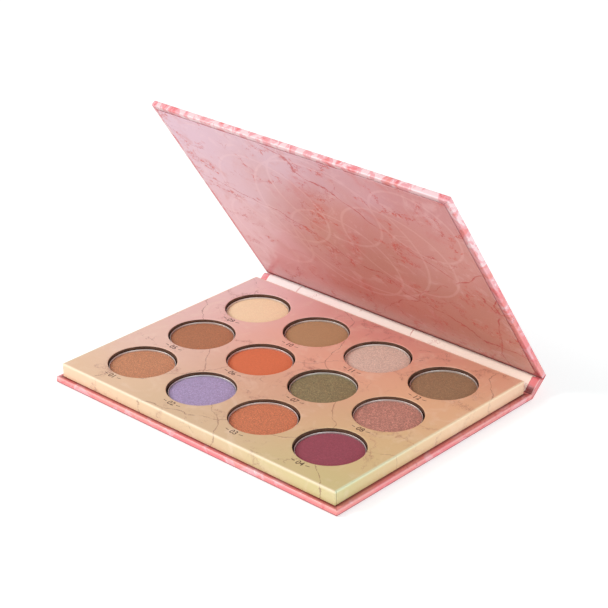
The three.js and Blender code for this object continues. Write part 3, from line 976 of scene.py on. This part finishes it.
cell_stops_x = cell_stops(COLUMNS)
cell_stops_y = cell_stops(ROWS)


def well_face(draft, z, rim):
    """A sheet of square cells at height z, each cell round a well with its rim's radius."""
    for centre in centres:
        square, circle = [], []
        for ray in map(Vector, rays(WELL_STEPS)):
            reach = PITCH / 2 / max(abs(ray.x), abs(ray.y))
            square.append((centre.x + reach * ray.x, centre.y + reach * ray.y, z))
            circle.append((centre.x + rim * ray.x, centre.y + rim * ray.y, z))
        square, circle = np.array(square), np.array(circle)
        draft.stack([square * (1 - share) + circle * share for share in (0, 0.4, 0.75, 1)])


def well_walls(draft, profile, jitter=0.0):
    """Each well's wall from [radius, height] points."""
    for number, centre in enumerate(centres):
        rings = []
        for radius, z in profile:
            ring = []
            for x, y in rays(WELL_STEPS):
                reach = radius + jitter * noise.noise(Vector((9 * x + 31 * number, 9 * y, 2.5 * z)))
                ring.append((centre.x + reach * x, centre.y + reach * y, z))
            rings.append(ring)
        draft.stack(rings)


def block_ring(z):
    """The border of the block of cells."""
    half = COLUMNS * PITCH / 2, ROWS * PITCH / 2
    return rounded_ring(*half, 0, cell_stops_x, cell_stops_y, z, tray_middle.y)


def edge_ring(inset, z, rounding=TRAY_ROUND):
    """The tray's outline, drawn in by inset."""
    size = tray_half.x - inset, tray_half.y - inset, max(rounding - inset, 0.08)
    return rounded_ring(*size, cell_stops_x, cell_stops_y, z, tray_middle.y)


def tray_cover():
    """The printed paper over the tray's top, sides and lower edge, with its well lips."""
    draft = Draft()
    top, bottom = TRAY_TOP, TRAY_BOTTOM
    under = top - PAPER
    well_face(draft, top, LIP_RADIUS)
    lip = [(WELL_RADIUS + further, top - depth) for further, depth in LIP]
    well_walls(draft, lip + [(LIP_RADIUS, under)])
    well_face(draft, under, LIP_RADIUS)
    outer = [block_ring(top), edge_ring(2.2, top), edge_ring(1.0, top)]
    for x, z in arc((0, top - TRAY_ROUND), TRAY_ROUND, 90, 0, 7):
        outer.append(edge_ring(TRAY_ROUND - x, z))
    outer.append(edge_ring(0, (top + bottom) / 2))
    for x, z in arc((0, bottom + LOWER_ROUND), LOWER_ROUND, 0, -90, 4):
        outer.append(edge_ring(LOWER_ROUND - x, z))
    inner = [(TRAY_UNDER, bottom), (TRAY_UNDER, bottom + PAPER), (PAPER + 0.3, bottom + PAPER)]
    inner += [(PAPER, bottom + PAPER + 0.2), (PAPER, under - 0.4), (PAPER + 0.4, under)]
    draft.stack(outer + [edge_ring(inset, z) for inset, z in inner] + [block_ring(under)])
    return draft.make("tray_cover", base_place, BASE_SHIFT, TRAY_PAPER)


tray_shell = tray_cover()
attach(tray_shell, "base")
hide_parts("tray_wrap")


def well_board():
    """The face board: its cut edge is the brown wall of every well."""
    draft = Draft()
    top = face_high.z - SHEET_RISE
    bottom = face_low.z - SHEET_RISE
    radius = WELL_RADIUS + 0.05
    well_face(draft, top, radius)
    steps = 8
    profile = [(radius, top + (bottom - top) * step / steps) for step in range(steps + 1)]
    well_walls(draft, profile, jitter=0.06)
    well_face(draft, bottom, radius)
    gap = PAPER + 0.1
    edge = [(0.3, top), (0, top - 0.3), (0, bottom + 0.1), (0.1, bottom)]
    rings = [edge_ring(gap + inset, z, gap + 0.4) for inset, z in edge]
    draft.stack([block_ring(top), *rings, block_ring(bottom)])
    return draft.make("well_board", base_place, BASE_SHIFT, BOARD)


board = well_board()
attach(board, "base")
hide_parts("tray_face_board")

# ---- Pans and powders ----

ROUND_STEPS = 96
PAN_DRIFT = 0.25
PAN_WALL = 0.24
PAN_CORNER = 0.5
BORE_CORNER = 0.4
RIM_ROUND = 0.12
CAKE_CAP = 0.6  # radius of the small face in a powder's middle
# A powder's rounded edge, as inset and depth.
CAKE_EDGE = [(0, 0.5), (0.02, 0.34), (0.1, 0.24), (0.28, 0.15), (0.6, 0.09), (1.1, 0.05)]
CAKE_EDGE += [(1.9, 0.025)]


def turned(draft, centre, profile, push=None):
    """A body turned from [radius, height] points, open ends closed with a small cap. push tells
    how far each point is moved up."""
    rings = []
    for radius, z in profile:
        ring = []
        for ray_x, ray_y in rays(ROUND_STEPS):
            x = centre.x + radius * ray_x
            y = centre.y + radius * ray_y
            ring.append((x, y, z + (push(x, y, radius) if push else 0)))
        rings.append(ring)
    draft.body(rings)


# Each shade's name, colour, shimmer and glint.
POWDERS = [
    ("bronze", (207, 144, 106), 0.55, 0.12),
    ("lavender", (175, 158, 197), 0.35, 0.11),
    ("copper", (212, 130, 91), 0.5, 0.13),
    ("burgundy", (151, 65, 82), 0.05, 0.09),
    ("chestnut", (183, 122, 85), 0.45, 0.09),
    ("orange", (219, 113, 68), 0.0, 0.02),
    ("olive", (148, 140, 102), 0.65, 0.2),
    ("rosewood", (198, 144, 129), 0.6, 0.2),
    ("cream", (255, 225, 186), 0.12, 0.02),
    ("tan", (181, 141, 99), 0.0, 0.03),
    ("champagne", (228, 207, 192), 0.5, 0.05),
    ("umber", (159, 128, 95), 0.4, 0.13),
]


def settled(number):
    """How far a pan was glued off the middle of its well."""
    turn = 2.4 * number + 2.6
    return Vector((math.cos(turn), math.sin(turn), 0)) * PAN_DRIFT


def make_pan(number):
    low, high = box_mm(f"pan_{number:02d}")
    centre = (low + high) / 2 + settled(number)
    radius = (high.x - low.x) / 2
    bottom, rim = low.z, high.z
    bore = radius - PAN_WALL
    profile = [(0.5, bottom), (radius - 0.6, bottom)]
    profile += arc((radius - PAN_CORNER, bottom + PAN_CORNER), PAN_CORNER, -90, 0, 4)[1:]
    profile += [(radius, rim - 0.6), (radius, rim - RIM_ROUND)]
    profile += arc((radius - RIM_ROUND, rim - RIM_ROUND), RIM_ROUND, 0, 180, 8)[1:]
    profile += [(bore, rim - 0.6), (bore, bottom + 0.8)]
    profile += arc((bore - BORE_CORNER, bottom + 0.7), BORE_CORNER, 0, -90, 3)[1:]
    profile += [(0.5, bottom + 0.3)]
    draft = Draft()
    turned(draft, centre, profile)
    pan = draft.make(f"godet_{number:02d}", shared_place, 0, METAL)
    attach(pan, "base")
    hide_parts(f"pan_{number:02d}")


def make_powder(number):
    name, colour, shimmer, glint = POWDERS[number - 1]
    low, high = box_mm(f"powder_{number:02d}")
    centre = (low + high) / 2 + settled(number)
    radius = (high.x - low.x) / 2
    top = high.z

    def surface(x, y, reach):
        """Slow and fine unevenness, less of it towards the edge."""
        share = min(1.0, (reach / radius) ** 6)
        broad = noise.noise(Vector((0.35 * x, 0.35 * y, 5 * number)))
        fine = noise.noise(Vector((2.6 * x, 2.6 * y, 7 * number)))
        return (0.018 * broad + 0.012 * fine) * (1 - 0.4 * share)

    outline = [(radius, low.z + 0.9)]
    outline += [(radius - inset, top - depth) for inset, depth in CAKE_EDGE]
    shares = (0.76, 0.66, 0.56, 0.46, 0.36, 0.26, 0.16)
    outline += [(radius * share, top - 0.01) for share in shares]
    outline += [(CAKE_CAP, top - 0.01)]
    draft = Draft()
    lower = [(CAKE_CAP, low.z), (radius - 0.8, low.z), (radius - 0.3, low.z + 0.3)]
    turned(draft, centre, lower + outline, surface)
    finish = powder(f"powder_{name}", srgb(*colour), shimmer, glint, 13 * number)
    cake = draft.make(f"cake_{number:02d}", shared_place, 0, finish)
    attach(cake, "base")
    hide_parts(f"powder_{number:02d}")


for pan_number in PAN_NUMBERS:
    make_pan(pan_number)
    make_powder(pan_number)

# ---- Shade numbers printed below each well ----

NUMBER_HEIGHT = 3.6
NUMBER_RADIUS = WELL_RADIUS + 3.5
INK_THICKNESS = 0.03


def make_number(number):
    """Two digits between short dashes, set on an arc round the well."""
    curve = bpy.data.curves.new(f"digits_{number:02d}", "FONT")
    curve.body = f"\u2013 {number:02d} \u2013"
    curve.size = NUMBER_HEIGHT
    curve.align_x = "CENTER"
    curve.resolution_u = 3
    curve.extrude = INK_THICKNESS / 2
    text = linked(f"digits_{number:02d}", curve)
    bpy.context.view_layer.update()
    evaluated = text.evaluated_get(bpy.context.evaluated_depsgraph_get())
    mesh = bpy.data.meshes.new_from_object(evaluated)
    bpy.data.objects.remove(text)
    bpy.data.curves.remove(curve)
    centre = pan_centre(number)
    level = tray_high.z + INK_THICKNESS / 2
    for vertex in mesh.vertices:
        x, y, z = vertex.co
        angle = -math.pi / 2 + x / NUMBER_RADIUS
        reach = NUMBER_RADIUS - y
        vertex.co = (
            (centre.x + reach * math.cos(angle)) * MM,
            (centre.y + reach * math.sin(angle)) * MM,
            (level + z) * MM,
        )
    mesh.name = f"shade_number_{number:02d}"
    mesh.materials.clear()
    mesh.materials.append(INK)
    digits = linked(f"shade_number_{number:02d}", mesh)
    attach(digits, "base")


for pan_number in PAN_NUMBERS:
    make_number(pan_number)

# ---- CAD nodes that stay, hidden inside the paper ----

for node_name, cad_object in frame["nodes"].items():
    if cad_object.hide_render:
        continue
    finish = NICKEL if "magnet" in node_name else HIDDEN_BOARD
    for material_slot in cad_object.material_slots:
        material_slot.material = finish

# ---- Floor, light and camera ----


FLOOR_HALF = 2500
FLOOR_DROP = 0.00045  # in metres, so that a thin contact line shows round the case
FLOOR_COLOURS = (0.66, 0.675, 0.675, 1), (0.68, 0.695, 0.695, 1)
FLOOR_GLOW = 0.53
WORLD_STRENGTH = 0.55
LIGHT_DISTANCE = 1.2
# Each light's name, direction, size, power and colour.
LIGHTS = [
    ("key", (-0.55, -0.62, 0.6), 0.45, 8.0, (1, 0.985, 0.96)),
    ("fill", (1.0, -0.3, 0.28), 0.6, 4.5, (0.82, 1, 1.03)),
]
CAMERA_AZIMUTH = 42.34
CAMERA_ELEVATION = 25.66
CAMERA_DISTANCE = 0.760
CAMERA_AIM = Vector((-0.0349, 0.0452, 0.0099))
FOCAL_LENGTH = 108.6
SENSOR_WIDTH = 36
CLIP = 0.01, 20


def make_floor():
    draft = Draft()
    draft.face(draft.add(rounded_ring(FLOOR_HALF, FLOOR_HALF, 100, [0], [0], 0)))
    finish = Paint("floor", "object")
    speck = finish.noise(40, 2, 0.5, 1)
    finish.set(Base_Color=finish.mix(speck, *FLOOR_COLOURS))
    finish.set(Roughness=0.9, Specular_IOR_Level=0.0)
    finish.set(Emission_Color=(1, 1, 1, 1), Emission_Strength=FLOOR_GLOW)
    made = draft.make("floor", shared_place, 0, finish.material)
    made.location.z = -FLOOR_DROP


def face_away(made, back):
    """Turns a light or a camera so that it looks against the direction back."""
    made.rotation_mode = "QUATERNION"
    made.rotation_quaternion = back.to_track_quat("Z", "Y")


def make_light(name, direction, size, power, colour):
    """A square soft box, aimed at the palette."""
    lamp = bpy.data.lights.new(name, "AREA")
    lamp.size = size
    lamp.energy = power
    lamp.color = colour
    made = linked(name, lamp)
    back = Vector(direction).normalized()
    made.location = back * LIGHT_DISTANCE
    face_away(made, back)


def make_world():
    world = bpy.data.worlds.new("studio")
    world.use_nodes = True
    background = world.node_tree.nodes["Background"]
    background.inputs["Color"].default_value = (1, 1, 1, 1)
    background.inputs["Strength"].default_value = WORLD_STRENGTH
    bpy.context.scene.world = world


def make_camera():
    camera = bpy.data.cameras.new("camera")
    camera.sensor_width = SENSOR_WIDTH
    camera.lens = FOCAL_LENGTH
    camera.clip_start, camera.clip_end = CLIP
    made = linked("camera", camera)
    azimuth, elevation = math.radians(CAMERA_AZIMUTH), math.radians(CAMERA_ELEVATION)
    level, up = math.cos(elevation), math.sin(elevation)
    back = Vector((math.sin(azimuth) * level, -math.cos(azimuth) * level, up))
    made.location = CAMERA_AIM + back * CAMERA_DISTANCE
    face_away(made, back)
    bpy.context.scene.camera = made


make_floor()
make_world()
for light in LIGHTS:
    make_light(*light)
make_camera()
bpy.context.scene.view_settings.view_transform = "Standard"
